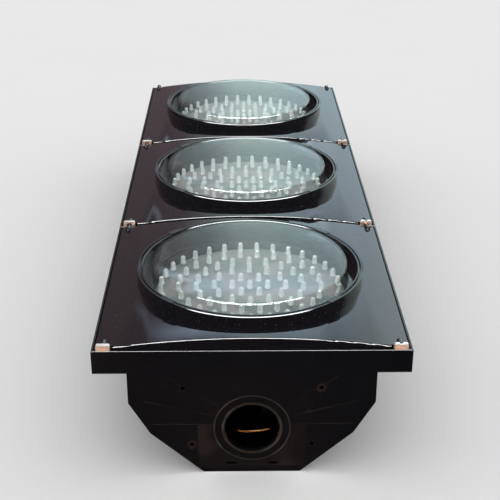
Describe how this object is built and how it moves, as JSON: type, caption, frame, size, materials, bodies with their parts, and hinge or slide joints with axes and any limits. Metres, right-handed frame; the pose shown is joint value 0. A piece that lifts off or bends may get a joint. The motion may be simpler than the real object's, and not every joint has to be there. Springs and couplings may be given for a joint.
{
  "type": "traffic signal head",
  "caption": "Traffic signal head lying on its back: stacked housings with bowed hinged doors, visor collars, clear domed lenses over lamp rings, and toothed end bores.",
  "frame": {"origin": "middle of the flat back, in the middle of the head's length", "axes": "+Z the way the lenses face, +Y along the head to its top section, +X to the right seen from the lower end with the head on its back"},
  "size_m": [0.4, 1.146, 0.2225],
  "materials": {
    "shell": "moulded black polycarbonate, semi-gloss",
    "door_shell": "glossy moulded black polycarbonate",
    "gasket": "matt",
    "lens": "clear moulded polycarbonate",
    "case": "satin moulded",
    "board": "pale solder mask",
    "led_clear": "clear epoxy",
    "circuit": "green solder mask with parts",
    "steel": "zinc plated",
    "clip_brass": "copper-toned plate",
    "lead": "matt jacket",
    "connector": "moulded nylon",
    "wire_lower": "insulated wire",
    "wire_middle": "insulated wire",
    "wire_upper": "insulated wire"
  },
  "bodies": {
    "housing": {"housing_lower": "shell", "housing_middle": "shell", "housing_upper": "shell", "harness_lower": "wire_lower", "harness_middle": "wire_middle", "harness_upper": "wire_upper", "hinge_pins": "steel", "corner_clips": "clip_brass", "seam_bolts": "steel", "seam_nuts": "steel", "seam_grommets": "gasket", "lead_sockets": "connector", "terminal_block": "connector", "terminal_screws": "clip_brass"},
    "door_lower": {"door_lower": "door_shell", "door_gasket_lower": "gasket", "lens_lower": "lens", "lens_gasket_lower": "gasket", "module_case_lower": "case", "led_board_lower": "board", "leds_lower": "led_clear", "driver_board_lower": "circuit", "catch_pins_lower": "steel", "turn_screws_lower": "steel", "module_lead_lower": "lead"},
    "door_middle": {"door_middle": "door_shell", "door_gasket_middle": "gasket", "lens_middle": "lens", "lens_gasket_middle": "gasket", "module_case_middle": "case", "led_board_middle": "board", "leds_middle": "led_clear", "driver_board_middle": "circuit", "catch_pins_middle": "steel", "turn_screws_middle": "steel", "module_lead_middle": "lead"},
    "door_upper": {"door_upper": "door_shell", "door_gasket_upper": "gasket", "lens_upper": "lens", "lens_gasket_upper": "gasket", "module_case_upper": "case", "led_board_upper": "board", "leds_upper": "led_clear", "driver_board_upper": "circuit", "catch_pins_upper": "steel", "turn_screws_upper": "steel", "module_lead_upper": "lead"},
    "turn_clip_1_lower": {"turn_clip_1_lower": "steel"},
    "turn_clip_2_lower": {"turn_clip_2_lower": "steel"},
    "turn_clip_3_lower": {"turn_clip_3_lower": "steel"},
    "turn_clip_4_lower": {"turn_clip_4_lower": "steel"},
    "turn_clip_1_middle": {"turn_clip_1_middle": "steel"},
    "turn_clip_2_middle": {"turn_clip_2_middle": "steel"},
    "turn_clip_3_middle": {"turn_clip_3_middle": "steel"},
    "turn_clip_4_middle": {"turn_clip_4_middle": "steel"},
    "turn_clip_1_upper": {"turn_clip_1_upper": "steel"},
    "turn_clip_2_upper": {"turn_clip_2_upper": "steel"},
    "turn_clip_3_upper": {"turn_clip_3_upper": "steel"},
    "turn_clip_4_upper": {"turn_clip_4_upper": "steel"}
  },
  "joints": [
    {"name": "door_hinge_lower", "type": "hinge", "parent": "housing", "child": "door_lower", "pos_m": [-0.185, -0.382, 0.1845], "axis": [0, -1, 0], "range_deg": [0, 110]},
    {"name": "door_hinge_middle", "type": "hinge", "parent": "housing", "child": "door_middle", "pos_m": [-0.185, 0, 0.1845], "axis": [0, -1, 0], "range_deg": [0, 110]},
    {"name": "door_hinge_upper", "type": "hinge", "parent": "housing", "child": "door_upper", "pos_m": [-0.185, 0.382, 0.1845], "axis": [0, -1, 0], "range_deg": [0, 110]},
    {"name": "turn_clip_turn_1_lower", "type": "hinge", "parent": "door_lower", "child": "turn_clip_1_lower", "pos_m": [0.11137, -0.27063, 0.17825], "axis": [0, 0, 1], "range_deg": [-90, 90]},
    {"name": "turn_clip_turn_2_lower", "type": "hinge", "parent": "door_lower", "child": "turn_clip_2_lower", "pos_m": [-0.11137, -0.27063, 0.17825], "axis": [0, 0, 1], "range_deg": [-90, 90]},
    {"name": "turn_clip_turn_3_lower", "type": "hinge", "parent": "door_lower", "child": "turn_clip_3_lower", "pos_m": [-0.11137, -0.49337, 0.17825], "axis": [0, 0, 1], "range_deg": [-90, 90]},
    {"name": "turn_clip_turn_4_lower", "type": "hinge", "parent": "door_lower", "child": "turn_clip_4_lower", "pos_m": [0.11137, -0.49337, 0.17825], "axis": [0, 0, 1], "range_deg": [-90, 90]},
    {"name": "turn_clip_turn_1_middle", "type": "hinge", "parent": "door_middle", "child": "turn_clip_1_middle", "pos_m": [0.11137, 0.11137, 0.17825], "axis": [0, 0, 1], "range_deg": [-90, 90]},
    {"name": "turn_clip_turn_2_middle", "type": "hinge", "parent": "door_middle", "child": "turn_clip_2_middle", "pos_m": [-0.11137, 0.11137, 0.17825], "axis": [0, 0, 1], "range_deg": [-90, 90]},
    {"name": "turn_clip_turn_3_middle", "type": "hinge", "parent": "door_middle", "child": "turn_clip_3_middle", "pos_m": [-0.11137, -0.11137, 0.17825], "axis": [0, 0, 1], "range_deg": [-90, 90]},
    {"name": "turn_clip_turn_4_middle", "type": "hinge", "parent": "door_middle", "child": "turn_clip_4_middle", "pos_m": [0.11137, -0.11137, 0.17825], "axis": [0, 0, 1], "range_deg": [-90, 90]},
    {"name": "turn_clip_turn_1_upper", "type": "hinge", "parent": "door_upper", "child": "turn_clip_1_upper", "pos_m": [0.11137, 0.49337, 0.17825], "axis": [0, 0, 1], "range_deg": [-90, 90]},
    {"name": "turn_clip_turn_2_upper", "type": "hinge", "parent": "door_upper", "child": "turn_clip_2_upper", "pos_m": [-0.11137, 0.49337, 0.17825], "axis": [0, 0, 1], "range_deg": [-90, 90]},
    {"name": "turn_clip_turn_3_upper", "type": "hinge", "parent": "door_upper", "child": "turn_clip_3_upper", "pos_m": [-0.11137, 0.27063, 0.17825], "axis": [0, 0, 1], "range_deg": [-90, 90]},
    {"name": "turn_clip_turn_4_upper", "type": "hinge", "parent": "door_upper", "child": "turn_clip_4_upper", "pos_m": [0.11137, 0.27063, 0.17825], "axis": [0, 0, 1], "range_deg": [-90, 90]}
  ]
}
